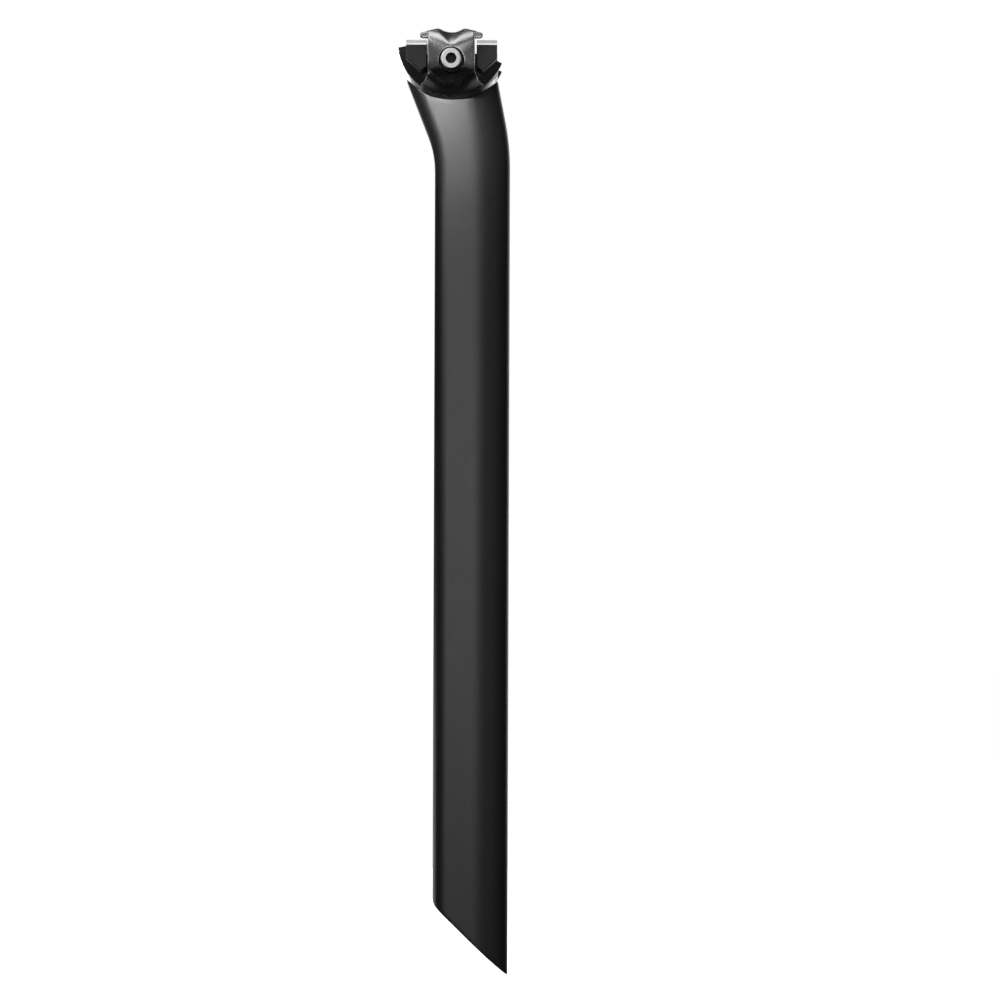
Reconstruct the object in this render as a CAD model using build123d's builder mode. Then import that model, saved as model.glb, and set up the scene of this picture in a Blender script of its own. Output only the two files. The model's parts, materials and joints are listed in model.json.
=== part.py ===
from build123d import *
import os
from math import atan2, cos, degrees, radians, sin, sqrt, tan

# Bicycle seatpost: a hollow D-section post with a leaning head, and a tilting side clamp for saddle rails.
# Millimetres. +X is forward, +Y is the rider's left, +Z is up along the shaft.
# The origin is on the shaft's centre line, level with the lowest tip of the foot.

# Tilt axis, which is also the height of the saddle rails
axis_height = 398.8
axis_setback = 8.8

# Post, its bends measured down from the tilt axis
post_chord = 32.2
post_width = 21.0
post_wall = 2.4
nose_length = 17.0
nose_radius = 6.5
rear_corner_radius = 5.6
least_corner_radius = 0.8
foot_cut_angle = 44.5
foot_corner_radius = 5.0
rear_bend_drop = 46.5
rear_bend_radius = 45.0
rear_lean = 21.3
front_bend_drop = 42.8
front_bend_radius = 106.0
front_lean = 10.9

# Arc rail bonded into the head
rail_seat_radius = 19.3
rail_thickness = 3.7
rail_half_width = 12.25
rail_undercut = 1.65
rail_rear_angle = 186.0
rail_front_angle = 337.0
rim_rise = 1.2
rim_margin = 2.4
rim_flare = 16.0
rim_flare_drop = 15.3
rail_notch_width = 17.0
spigot_depth = 7.5
bond_gap = 0.1

# Saddle rails that the clamp takes
saddle_rail_diameter = 7.0
saddle_rail_spacing = 44.0

# Cradle, measured from the tilt axis
slide_gap = 0.15
bar_inner = 10.5
bar_outer = 19.2
bar_top = -0.7
bar_outer_low = -8.6
bar_tip = 13.1
bar_tip_low = -14.2
bar_inner_low = -12.3
bar_half_span = 20.1
bar_edge = 0.35
core_half_width = 11.0
core_half_length = 17.0
core_top = -5.0

# Ears, measured from the tilt axis and outwards from the middle plane
ear_half_width = 9.9
wing_half_span = 13.3
wing_low = -1.6
wing_tip_radius = 1.4
ear_peak = 2.8
ear_peak_offset = 5.3
ear_valley = 1.6
crease_high = -14.4
crease_low = -17.5
crease_half_width = 5.0
ear_depth = 10.0
ear_gap = 0.35
boss_face = 29.2
boss_low = -9.0
boss_high = -4.6
chin_face = 20.5
visor_face = 28.0
visor_lip = 26.6
facet_turn = 14.0
facet_lean = 10.0
scoop_low = -4.2
scoop_rise = 11.0
scoop_lean = 27.0
scoop_spread = 2.14
scoop_tip_radius = 0.1
foot_neck_low = -12.5
foot_half_width = 13.4
foot_radius = 23.3
foot_face = 17.6
foot_face_low = -20.6
foot_reach = 13.6

# Clamp bolt, washer and nut
bolt_drop = 10.8
bolt_diameter = 5.0
bolt_clearance = 0.25
bolt_length = 52.0
bolt_head_diameter = 8.5
bolt_head_height = 5.0
bolt_head_edge = 0.4
socket_radius = 1.65
socket_lobe_radius = 0.5
socket_lobe_count = 6
socket_depth = 2.6
washer_diameter = 9.6
washer_thickness = 1.0
counterbore_diameter = 10.0
bolt_seat = 26.0
spacer_diameter = 12.5
spacer_gap = 0.4
nut_flats = 8.0
nut_sides = 6
nut_seat = 16.6
nut_length = 10.0
nut_gap = 0.1
thread_gap = 0.05

# Values that follow from the sizes above
half_chord = post_chord / 2
half_width = post_width / 2
nose_centre = nose_length - nose_radius
flank_radius = (nose_centre**2 + half_width**2 - nose_radius**2) / (2 * (half_width - nose_radius))
flank_angle = degrees(atan2(flank_radius - half_width, nose_centre))
rail_outer_radius = rail_seat_radius + rail_thickness
rim_radius = rail_outer_radius + rim_margin
rail_low_half_width = rail_half_width - rail_undercut
rail_turn = rail_front_angle - rail_rear_angle
saddle_rail_radius = saddle_rail_diameter / 2
saddle_rail_offset = saddle_rail_spacing / 2
rim_centre_height = axis_height + rim_rise
rim_bottom = rim_centre_height - rim_radius
rim_flare_height = axis_height - rim_flare_drop
head_top = rim_centre_height - rim_radius / 2
cradle_radius = rail_seat_radius - slide_gap
bolt_height = axis_height - bolt_drop
head_seat = bolt_seat + washer_thickness
hole_radius = bolt_diameter / 2 + bolt_clearance
ear_inner_face = boss_face - ear_depth
foot_inner_face = rail_half_width + ear_gap
spacer_end = core_half_width + spacer_gap

tilt_axis = Axis((-axis_setback, 0, axis_height), (0, -1, 0))


def side_plane(height, across=0.0):
    """Plane seen from the rider's right, centred over the tilt axis; across moves it to the right."""
    return Plane(origin=(-axis_setback, -across, height), x_dir=(1, 0, 0), z_dir=(0, -1, 0))


def radial_plane(angle):
    """Plane through the tilt axis: local x along +Y, local y outwards at an angle from forward."""
    out_x = cos(radians(angle))
    out_z = sin(radians(angle))
    origin = (-axis_setback, 0, axis_height)
    return Plane(origin=origin, x_dir=(0, 1, 0), z_dir=(out_z, 0, -out_x))


def edge_path(edge, bend_drop, lean, shift, top):
    """Foot, bend and top of a leaning edge in side view, moved forward square to itself by a shift."""
    bend = axis_height - bend_drop + shift * tan(radians(lean) / 2)
    top_edge = edge + shift - (top - bend) * tan(radians(lean))
    return (edge + shift, 0), (edge + shift, bend), (top_edge, top)


def leaning_plane(edge, height):
    """Plane square to the leaning front of the head, with its local x forward."""
    across = (cos(radians(front_lean)), 0, sin(radians(front_lean)))
    along = (-sin(radians(front_lean)), 0, cos(radians(front_lean)))
    return Plane(origin=(edge, 0, height), x_dir=across, z_dir=along)


def nose_section(plane, inset):
    """Half-section forward of the shoulders: two long flanks and a tighter tip, all tangent."""
    right_angle = 90
    with BuildSketch(plane) as section:
        with BuildLine():
            Line((0, inset - half_width), (0, half_width - inset))
            CenterArc(
                (0, half_width - flank_radius), flank_radius - inset, flank_angle, right_angle - flank_angle
            )
            CenterArc((nose_centre, 0), nose_radius - inset, -flank_angle, 2 * flank_angle)
            CenterArc(
                (0, flank_radius - half_width), flank_radius - inset, -right_angle, right_angle - flank_angle
            )
        make_face()
    return section.sketch


def post_form(inset, top):
    """Straight shaft, bend and leaning head up to a height, inset all round from the outside."""
    rear = edge_path(-half_chord, rear_bend_drop, rear_lean, inset, top)
    shoulder = edge_path(half_chord, front_bend_drop, front_lean, -nose_length, top)
    bend_start = axis_height - front_bend_drop - front_bend_radius * tan(radians(front_lean) / 2)
    bend_centre = half_chord - front_bend_radius
    shoulder_radius = front_bend_radius - nose_length
    with BuildPart() as form:
        with BuildSketch(Plane.XZ):
            with BuildLine():
                FilletPolyline(*rear, radius=rear_bend_radius + inset)
                Line(rear[-1], shoulder[-1])
                FilletPolyline(*shoulder, radius=shoulder_radius)
                Line(shoulder[0], rear[0])
            make_face()
        extrude(amount=half_width - inset, both=True)
        sides = form.faces().filter_by(Axis.Y)
        upright_edges = sides.edges().filter_by(Axis.X, reverse=True)
        rear_edges = upright_edges.sort_by(Axis.X)[: len(upright_edges) // 2]
        fillet(rear_edges, max(rear_corner_radius - inset, least_corner_radius))
        foot_plane = Plane(origin=(half_chord - nose_length, 0, 0))
        extrude(nose_section(foot_plane, inset), amount=bend_start)
        bend_axis = Axis((bend_centre, 0, bend_start), (0, -1, 0))
        revolve(nose_section(foot_plane.offset(bend_start), inset), axis=bend_axis, revolution_arc=front_lean)
        bend_end = bend_start + shoulder_radius * sin(radians(front_lean))
        head_plane = leaning_plane(bend_centre + shoulder_radius * cos(radians(front_lean)), bend_end)
        head_length = (top - bend_end) / cos(radians(front_lean))
        extrude(nose_section(head_plane, inset), amount=head_length)
    return form.part


post_outside = post_form(0.0, head_top)
post_inside = post_form(post_wall, head_top)
crescent_outside = post_form(0.0, axis_height)
plug_outside = post_form(post_wall + bond_gap, rim_flare_height)

# The post is hollow from its slanted foot to the arc that is cut into its head.
with BuildPart() as post:
    add(post_outside)
    add(post_inside, mode=Mode.SUBTRACT)
    with BuildSketch(side_plane(rim_centre_height)):
        Circle(rim_radius)
    extrude(amount=post_width, both=True, mode=Mode.SUBTRACT)
    foot_rise = post_chord * tan(radians(foot_cut_angle))
    with BuildSketch(Plane.XZ):
        with BuildLine():
            FilletPolyline(
                (half_chord, 0),
                (-half_chord, foot_rise),
                (-half_chord, foot_rise + post_chord),
                radius=foot_corner_radius,
            )
            Polyline(
                (-half_chord, foot_rise + post_chord),
                (-post_chord, foot_rise + post_chord),
                (-post_chord, 0),
                (half_chord, 0),
            )
        make_face()
    extrude(amount=post_width, both=True, mode=Mode.SUBTRACT)
post.part.label = "post"

# The plug that is bonded into the head.
with BuildPart() as plug:
    add(plug_outside)
    split(bisect_by=Plane.XY.offset(rim_bottom - spigot_depth), keep=Keep.TOP)

# The arc rail is a dovetail bent round the tilt axis, on a crescent that carries the head's outline upwards
# and flares forward at its front end. Between the two sides of the dovetail that end is notched.
with BuildPart() as arc_rail:
    add(crescent_outside)
    flare_foot = edge_path(half_chord, front_bend_drop, front_lean, -nose_length, rim_flare_height)[-1]
    flare_plane = leaning_plane(*flare_foot)
    flare_length = rim_flare_drop / cos(radians(rim_flare))
    flare_direction = Vector(sin(radians(rim_flare)), 0, cos(radians(rim_flare)))
    extrude(nose_section(flare_plane, 0.0), amount=flare_length, dir=flare_direction)
    with BuildSketch(radial_plane(rail_rear_angle)):
        with Locations((0, rail_outer_radius)):
            Rectangle(2 * post_width, rail_thickness, align=(Align.CENTER, Align.MAX))
            Rectangle(2 * post_width, rim_radius, align=(Align.CENTER, Align.MIN))
    revolve(axis=tilt_axis, revolution_arc=rail_turn, mode=Mode.INTERSECT)
    with BuildSketch(side_plane(rim_centre_height)):
        Circle(rim_radius - bond_gap)
    extrude(amount=post_width, both=True, mode=Mode.INTERSECT)
    with BuildSketch(radial_plane(rail_rear_angle)):
        Polygon(
            (-rail_half_width, rail_seat_radius),
            (rail_half_width, rail_seat_radius),
            (rail_low_half_width, rail_outer_radius),
            (-rail_low_half_width, rail_outer_radius),
            align=None,
        )
    revolve(axis=tilt_axis, revolution_arc=rail_turn)
    add(plug.part)
    with BuildSketch(side_plane(axis_height)):
        Circle(rail_seat_radius)
    extrude(amount=post_width, both=True, mode=Mode.SUBTRACT)
    notch_low = flare_plane.origin + flare_plane.x_dir * nose_length
    notch_high = notch_low + flare_direction * flare_length
    with BuildSketch(Plane.XZ):
        Polygon(
            (notch_low.X, notch_low.Z),
            (notch_high.X, notch_high.Z),
            (notch_high.X + rail_thickness, notch_high.Z),
            (notch_high.X + rail_thickness, notch_low.Z),
            align=None,
        )
    extrude(amount=rail_notch_width / 2, both=True, mode=Mode.SUBTRACT)
arc_rail.part.label = "arc_rail"

# The cradle slides on the arc rail. Its cross bars carry the saddle rails, and its core takes the bolt.
with BuildPart() as cradle:
    for side in (-1, 1):
        with BuildSketch(side_plane(axis_height)):
            Polygon(
                (side * bar_inner, bar_top),
                (side * bar_outer, bar_top),
                (side * bar_outer, bar_outer_low),
                (side * bar_tip, bar_tip_low),
                (side * bar_inner, bar_inner_low),
                align=None,
            )
        extrude(amount=bar_half_span, both=True)
    bar_ends = cradle.faces().filter_by(Axis.Y)
    chamfer(bar_ends.edges(), bar_edge)
    with BuildSketch(side_plane(axis_height)):
        Circle(cradle_radius)
        with Locations((0, core_top)):
            Rectangle(
                2 * core_half_length,
                rail_outer_radius,
                align=(Align.CENTER, Align.MAX),
                mode=Mode.INTERSECT,
            )
    extrude(amount=core_half_width, both=True)
    with BuildSketch(side_plane(axis_height)):
        Circle(rail_outer_radius)
        Circle(cradle_radius, mode=Mode.SUBTRACT)
    extrude(amount=rail_half_width + ear_gap, both=True, mode=Mode.SUBTRACT)
    with BuildSketch(Plane.YZ):
        with Locations((-saddle_rail_offset, axis_height), (saddle_rail_offset, axis_height)):
            Circle(saddle_rail_radius)
    extrude(amount=post_chord + bar_outer, both=True, mode=Mode.SUBTRACT)
    with BuildSketch(side_plane(bolt_height)):
        Circle(hole_radius)
    extrude(amount=core_half_width, both=True, mode=Mode.SUBTRACT)
cradle.part.label = "cradle"

# The foot of an ear, on the rider's right, which hooks under the dovetail.
with BuildPart() as ear_foot:
    foot_corner = sqrt(foot_radius**2 - foot_half_width**2)
    with BuildSketch(side_plane(axis_height)):
        with BuildLine():
            RadiusArc((-foot_half_width, -foot_corner), (foot_half_width, -foot_corner), -foot_radius)
            for side in (-1, 1):
                TangentArc(
                    (side * ear_half_width, foot_neck_low),
                    (side * foot_half_width, -foot_corner),
                    tangent=(0, -1),
                )
            Line((-ear_half_width, foot_neck_low), (ear_half_width, foot_neck_low))
        make_face()
    extrude(amount=foot_face)
    profile_plane = Plane(origin=(-axis_setback, 0, axis_height), x_dir=(0, -1, 0), z_dir=(-1, 0, 0))
    with BuildSketch(profile_plane):
        Polygon(
            (foot_inner_face, foot_neck_low),
            (foot_face, foot_neck_low),
            (foot_face, foot_face_low),
            (foot_reach, -foot_radius),
            (rail_low_half_width, -foot_radius),
            (rail_low_half_width, -rail_seat_radius),
            (foot_inner_face, -rail_seat_radius),
            align=None,
        )
    extrude(amount=foot_half_width, both=True, mode=Mode.INTERSECT)

# The blank of an ear: a forging whose boss takes the bolt and whose visor presses on the outer side of a
# saddle rail. Side facets fall away from the boss, and a scoop runs from the boss up between two peaks.
with BuildPart() as ear_blank:
    wing_root = wing_half_span - wing_tip_radius
    wing_top = wing_low + 2 * wing_tip_radius
    with BuildSketch(side_plane(axis_height)):
        with BuildLine():
            Line((-crease_half_width, crease_low), (crease_half_width, crease_low))
            for side in (-1, 1):
                Polyline(
                    (side * crease_half_width, crease_low),
                    (side * ear_half_width, crease_high),
                    (side * ear_half_width, wing_low),
                    (side * wing_root, wing_low),
                )
                ThreePointArc(
                    (side * wing_root, wing_low),
                    (side * wing_half_span, wing_low + wing_tip_radius),
                    (side * wing_root, wing_top),
                )
                Line((side * wing_root, wing_top), (side * ear_peak_offset, ear_peak))
            ThreePointArc((-ear_peak_offset, ear_peak), (0, ear_valley), (ear_peak_offset, ear_peak))
        make_face()
    extrude(amount=boss_face)
    with BuildSketch(profile_plane):
        with BuildLine():
            TangentArc((boss_face, boss_low), (chin_face, crease_low), tangent=(0, -1))
            Polyline(
                (boss_face, boss_low),
                (boss_face, boss_high),
                (visor_face, 0),
                (visor_lip, ear_peak),
                (saddle_rail_offset, ear_peak),
                (saddle_rail_offset, wing_low),
                (ear_inner_face, -saddle_rail_radius),
                (ear_inner_face, boss_low),
                (foot_inner_face, crease_low),
                (chin_face, crease_low),
            )
        make_face()
    extrude(amount=wing_half_span, both=True, mode=Mode.INTERSECT)
    for side in (-1, 1):
        facet_normal = (side * tan(radians(facet_turn)), -1, -tan(radians(facet_lean)))
        facet_origin = (-axis_setback, -boss_face, axis_height + boss_high)
        split(bisect_by=Plane(origin=facet_origin, z_dir=facet_normal), keep=Keep.BOTTOM)
    add(ear_foot.part)
    with BuildSketch(side_plane(bolt_height, spacer_end)):
        Circle(spacer_diameter / 2)
    extrude(amount=ear_inner_face - spacer_end)
    with BuildSketch(radial_plane(rail_rear_angle)):
        Polygon(
            (-foot_inner_face, cradle_radius - ear_gap),
            (-foot_inner_face, rail_seat_radius),
            (-rail_low_half_width - slide_gap, foot_radius),
            (0, foot_radius),
            (0, cradle_radius - ear_gap),
            align=None,
        )
    revolve(axis=tilt_axis, mode=Mode.SUBTRACT)
    with BuildSketch(Plane.YZ):
        with Locations((-saddle_rail_offset, axis_height)):
            Circle(saddle_rail_radius)
    extrude(amount=post_chord + wing_half_span, both=True, mode=Mode.SUBTRACT)
    for rise in (0.0, scoop_rise):
        scoop_radius = scoop_tip_radius + scoop_spread * rise
        scoop_centre = boss_face - rise * tan(radians(scoop_lean)) + scoop_radius
        with BuildSketch(Plane.XY.offset(axis_height + scoop_low + rise)):
            with Locations((-axis_setback, -scoop_centre)):
                Circle(scoop_radius)
    loft(ruled=True, mode=Mode.SUBTRACT)
    with BuildSketch(side_plane(bolt_height)):
        Circle(hole_radius)
    extrude(amount=boss_face, mode=Mode.SUBTRACT)

# The right ear takes the bolt's head in a round recess.
with BuildPart() as right_ear:
    add(ear_blank.part)
    with BuildSketch(side_plane(bolt_height, bolt_seat)):
        Circle(counterbore_diameter / 2)
    extrude(amount=boss_face, mode=Mode.SUBTRACT)
right_ear.part.label = "right_ear"

# The left ear is its mirror image, with a six-sided pocket for the nut.
with BuildPart() as left_ear:
    mirror(ear_blank.part, about=Plane.XZ)
    with BuildSketch(side_plane(bolt_height, -nut_seat)):
        RegularPolygon(nut_flats / 2 + nut_gap, nut_sides, major_radius=False)
    extrude(amount=-boss_face, mode=Mode.SUBTRACT)
left_ear.part.label = "left_ear"

# The clamp bolt: a cylinder-head screw with a six-lobe socket, its thread plain here.
with BuildPart() as clamp_bolt:
    with BuildSketch(side_plane(bolt_height, head_seat)):
        Circle(bolt_head_diameter / 2)
    extrude(amount=bolt_head_height)
    chamfer(clamp_bolt.edges().group_by(Axis.Y)[0], bolt_head_edge)
    with BuildSketch(side_plane(bolt_height, head_seat)):
        Circle(bolt_diameter / 2)
    extrude(amount=-bolt_length)
    with BuildSketch(side_plane(bolt_height, head_seat + bolt_head_height)):
        Circle(socket_radius)
        with PolarLocations(socket_radius, socket_lobe_count):
            Circle(socket_lobe_radius)
    extrude(amount=-socket_depth, mode=Mode.SUBTRACT)
clamp_bolt.part.label = "clamp_bolt"

with BuildPart() as bolt_washer:
    with BuildSketch(side_plane(bolt_height, bolt_seat)):
        Circle(washer_diameter / 2)
        Circle(hole_radius, mode=Mode.SUBTRACT)
    extrude(amount=washer_thickness)
bolt_washer.part.label = "bolt_washer"

with BuildPart() as sleeve_nut:
    with BuildSketch(side_plane(bolt_height, -nut_seat)):
        RegularPolygon(nut_flats / 2, nut_sides, major_radius=False)
        Circle(bolt_diameter / 2 + thread_gap, mode=Mode.SUBTRACT)
    extrude(amount=-nut_length)
sleeve_nut.part.label = "sleeve_nut"

os.makedirs("parts", exist_ok=True)
for piece in (post, arc_rail, cradle, right_ear, left_ear, clamp_bolt, bolt_washer, sleeve_nut):
    export_step(piece.part, f"parts/{piece.part.label}.step")
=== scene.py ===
import json
import math
from types import SimpleNamespace

import bmesh
import bpy
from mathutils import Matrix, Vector


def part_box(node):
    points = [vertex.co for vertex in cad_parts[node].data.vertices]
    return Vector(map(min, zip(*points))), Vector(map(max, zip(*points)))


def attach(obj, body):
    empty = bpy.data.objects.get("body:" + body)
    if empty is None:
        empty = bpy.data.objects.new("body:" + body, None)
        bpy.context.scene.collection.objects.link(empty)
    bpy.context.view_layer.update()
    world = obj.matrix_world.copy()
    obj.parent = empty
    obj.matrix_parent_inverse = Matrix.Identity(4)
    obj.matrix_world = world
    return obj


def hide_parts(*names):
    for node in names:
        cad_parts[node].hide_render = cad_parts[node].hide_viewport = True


bl_info = {
    "name": "Bicycle seatpost",
    "version": (1, 0, 0),
    "blender": (4, 5, 0),
    "location": "3D View > Sidebar > Seatpost",
    "description": "Dresses a hollow D-section seatpost and its tilting saddle clamp",
    "category": "Object",
}

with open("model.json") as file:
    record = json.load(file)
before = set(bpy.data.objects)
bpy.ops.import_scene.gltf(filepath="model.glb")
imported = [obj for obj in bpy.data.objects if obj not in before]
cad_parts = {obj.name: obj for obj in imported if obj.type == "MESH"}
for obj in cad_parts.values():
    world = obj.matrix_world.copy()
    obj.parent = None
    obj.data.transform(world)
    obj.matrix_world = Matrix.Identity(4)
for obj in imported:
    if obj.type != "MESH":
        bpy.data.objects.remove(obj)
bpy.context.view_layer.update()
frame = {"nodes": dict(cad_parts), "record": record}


def named(rows, name):
    """The row of that name in one of the record's lists."""
    return next(row for row in rows if row["name"] == name)


MM = 0.001
JOINTS = frame["record"]["behaviour"]["joints"]
TILT_AXIS = Vector(named(JOINTS, "clamp_tilt")["pos_m"])
BOLT_AXIS = Vector(named(JOINTS, "bolt_turn")["pos_m"])
RAIL_SEAT = named(frame["record"]["mounts"], "right_rail_seat")
SADDLE_RAIL_OFFSET = abs(RAIL_SEAT["pos_m"][1])
SADDLE_RAIL_RADIUS = RAIL_SEAT["dims"]["r_mm"] * MM
WHITE = (1.0, 1.0, 1.0, 1.0)


def length(name, description, millimetres):
    """A length property; Blender keeps it in metres."""
    return bpy.props.FloatProperty(
        name=name, description=description, default=millimetres * MM, min=0.0, unit="LENGTH", precision=5
    )


def angle(name, description, degrees):
    """An angle property; Blender keeps it in radians."""
    return bpy.props.FloatProperty(
        name=name, description=description, default=math.radians(degrees), unit="ROTATION", precision=4
    )


def colour(name, description, red, green, blue):
    """A colour property, with an alpha of 1."""
    return bpy.props.FloatVectorProperty(
        name=name, description=description, default=(red, green, blue, 1.0),
        size=4, min=0.0, max=1.0, subtype="COLOR",
    )


def brightness(name, description, value):
    """The radiance of a light, where 1 is white."""
    return bpy.props.FloatProperty(name=name, description=description, default=value, min=0.0)


class SEATPOST_PG_post(bpy.types.PropertyGroup):
    """Sizes of the hollow post."""

    chord: length("Chord", "Front to back of the D-section", 32.2)
    width: length("Width", "Across the D-section", 21.0)
    wall: length("Wall", "Thickness of the laminate", 2.4)
    nose_length: length("Nose length", "From the shoulders to the tip of the nose", 17.0)
    nose_radius: length("Nose radius", "Radius of the tip of the nose", 6.5)
    rear_corner: length("Rear corner", "Radius of the two rear corners", 5.6)
    least_corner: length("Least corner", "Smallest radius of the rear corners inside", 0.8)
    foot_angle: angle("Foot angle", "Slant of the cut at the foot", 44.5)
    foot_corner: length("Foot corner", "Rounding where the cut meets the back", 5.0)
    rear_bend_drop: length("Rear bend", "From the tilt axis down to the bend in the back", 46.5)
    rear_bend_radius: length("Rear bend radius", "Radius of the bend in the back", 45.0)
    rear_lean: angle("Rear lean", "Lean of the back of the head", 21.3)
    front_bend_drop: length("Front bend", "From the tilt axis down to the bend in the nose", 42.8)
    front_bend_radius: length("Front bend radius", "Radius of the bend in the nose", 106.0)
    front_lean: angle("Front lean", "Lean of the front of the head", 10.9)
    rim_rise: length("Rim rise", "Centre of the head's arc above the tilt axis", 1.2)
    rim_radius: length("Rim radius", "Radius of the arc that is cut into the head", 25.4)
    soft_edge: length("Soft edge", "Rounding of the cut edges of the wall", 0.35)


class SEATPOST_PG_ears(bpy.types.PropertyGroup):
    """Sizes of the two ears, measured from the tilt axis and outwards from the middle plane."""

    half_width: length("Half width", "Half the width of an ear's body", 9.9)
    wing_half_span: length("Wing half span", "From the middle to the tip of a wing", 13.3)
    wing_low: length("Wing low", "Underside of the wings below the axis", 1.6)
    wing_tip: length("Wing tip", "Radius of a wing's tip", 1.4)
    wing_face: length("Wing face", "Outer face of the wings", 26.5)
    peak: length("Peak", "Height of the two peaks", 2.8)
    peak_offset: length("Peak offset", "From the middle to a peak", 5.3)
    valley: length("Valley", "Height of the valley between the peaks", 1.6)
    crease_high: length("Crease high", "Upper end of a crease below the axis", 14.4)
    crease_low: length("Crease low", "Lower end of a crease below the axis", 17.5)
    crease_half_width: length("Crease half width", "From the middle to a crease's lower end", 5.0)
    depth: length("Depth", "From the boss face to the inner face", 10.0)
    boss_face: length("Boss face", "Outer face of the boss", 29.2)
    boss_low: length("Boss low", "Lower end of the boss face below the axis", 9.0)
    boss_high: length("Boss high", "Upper end of the boss face below the axis", 4.6)
    chin_face: length("Chin face", "Reach of the chin where it meets the foot", 20.5)
    chin_crown: length("Chin crown", "How far the chin bulges from a straight slope", 1.1)
    visor_face: length("Visor face", "Reach of the visor at the axis", 28.0)
    visor_lip: length("Visor lip", "Reach of the visor at its peaks", 26.6)
    facet_turn: angle("Facet turn", "Turn of the side facets", 14.0)
    facet_lean: angle("Facet lean", "Lean of the side facets", 10.0)
    scoop_low: length("Scoop low", "Lower end of the scoop below the axis", 4.2)
    scoop_lean: angle("Scoop lean", "Lean of the scoop's floor", 27.0)
    scoop_tip: length("Scoop tip", "Radius of the scoop at its lower end", 0.1)
    foot_neck_low: length("Foot neck", "Top of the foot below the axis", 12.5)
    foot_half_width: length("Foot half width", "Half the width of the foot", 13.4)
    foot_radius: length("Foot radius", "Underside of the foot round the axis", 23.3)
    foot_face: length("Foot face", "Outer face of the foot", 18.2)
    foot_face_low: length("Foot face low", "Lower end of the foot's face below the axis", 17.6)
    foot_reach: length("Foot reach", "Reach of the foot's underside", 13.6)
    foot_inner: length("Foot inner", "Inner face of the foot", 12.6)
    hook_inner: length("Hook inner", "Inner edge of the hook under the dovetail", 10.75)
    rail_radius: length("Rail radius", "Inner radius of the dovetail", 19.3)
    spacer_radius: length("Spacer radius", "Radius of the spacer round the bolt", 6.25)
    spacer_end: length("Spacer end", "Inner end of the spacer", 11.4)
    spacer_lap: length("Spacer lap", "How far the spacer runs into the body", 1.0)
    hole_radius: length("Hole radius", "Radius of the bolt's hole", 2.75)
    recess_radius: length("Recess radius", "Radius of the recess for the bolt's head", 5.0)
    recess_seat: length("Recess seat", "Floor of the recess", 26.0)
    pocket_flats: length("Pocket flats", "Across the flats of the nut's pocket", 8.2)
    pocket_seat: length("Pocket seat", "Floor of the nut's pocket", 16.6)
    ridge_blend: length("Ridge blend", "Softness of the polished ridges", 1.6)
    edge_blend: length("Edge blend", "Softness of the outer edges", 0.5)
    crown_blend: length("Crown blend", "Softness of the two peaks", 0.6)
    foot_blend: length("Foot blend", "Softness where the body meets the foot", 3.2)
    sole_blend: length("Sole blend", "Rounding of the foot's lower edge", 4.0)
    hook_blend: length("Hook blend", "Softness of the hook's edges", 0.3)
    spacer_blend: length("Spacer blend", "Softness where the spacer meets the body", 0.8)
    seat_blend: length("Seat blend", "Softness of the rail seat's edges", 0.6)
    recess_blend: length("Recess blend", "Softness of the recess's edge", 0.5)
    pocket_blend: length("Pocket blend", "Softness of the pocket's edges", 0.3)
    grain: length("Grain", "Size of the steps that the form is sampled in", 0.19)


class SEATPOST_PG_fasteners(bpy.types.PropertyGroup):
    """Sizes of the bolt."""

    shank_radius: length("Shank radius", "Radius of the shank, over the thread", 2.5)
    head_radius: length("Head radius", "Radius of the cylinder head", 4.25)
    head_height: length("Head height", "Height of the head", 5.0)
    head_edge: length("Head edge", "Rounding of the head's outer edge", 0.4)
    socket_radius: length("Socket radius", "Mean radius of the six-lobe socket", 1.9)
    socket_lobe: length("Socket lobe", "Swing of the socket's lobes", 0.25)
    socket_depth: length("Socket depth", "Depth of the socket", 2.6)
    socket_edge: length("Socket edge", "Bevel round the socket", 0.12)
    thread_pitch: length("Thread pitch", "Pitch of the M5 thread", 0.8)
    thread_depth: length("Thread depth", "Depth of the thread's groove", 0.45)
    thread_length: length("Thread length", "Length of the thread", 22.0)
    tip_bevel: length("Tip bevel", "Bevel of the bolt's tip", 0.5)


class SEATPOST_PG_finish(bpy.types.PropertyGroup):
    """Colours of the finishes and of the painted shade, and the places where they change."""

    lacquer: colour("Lacquer", "Satin black lacquer over the carbon", 0.0065, 0.0065, 0.007)
    lacquer_fleck: colour("Lacquer fleck", "Paler flecks in the lacquer", 0.02, 0.02, 0.021)
    # The black below is also painted as shade into the ears' bolt recesses and the middles of the rail's
    # crescents
    black: colour("Black alloy", "Black anodised alloy", 0.02, 0.02, 0.0205)
    pale_black: colour("Pale black", "Paler patches of the black anodising", 0.034, 0.034, 0.035)
    bare: colour("Bare alloy", "Machined bare alloy", 0.68, 0.68, 0.685)
    gunmetal: colour("Gunmetal", "Polished gunmetal forging", 0.335, 0.335, 0.335)
    steel: colour("Steel", "Ground face of the bolt's head", 0.62, 0.62, 0.615)
    # Near-black steel, which also paints shade into the bolt's socket and onto its head's side
    oxide: colour("Oxide", "Blackened steel", 0.022, 0.022, 0.023)
    crescent_radius: length("Crescent radius", "Inner radius of the rail's bare crescents", 23.02)
    # The two sizes below set where the painted shade in the middle of each crescent fades out to bare alloy
    crescent_start: length("Crescent start", "From the rail's middle to where a crescent begins", 12.0)
    crescent_full: length("Crescent full", "From the rail's middle to where a crescent is all bare", 18.0)
    ground_radius: length("Ground radius", "Inner radius of the ground ring on the bolt's head", 2.2)
    ground_depth: length("Ground depth", "How far the bolt's head is ground from its face", 0.3)
    ring_pitch: length("Ring pitch", "Spacing of the turned rings on the bolt's head", 0.16)


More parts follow.
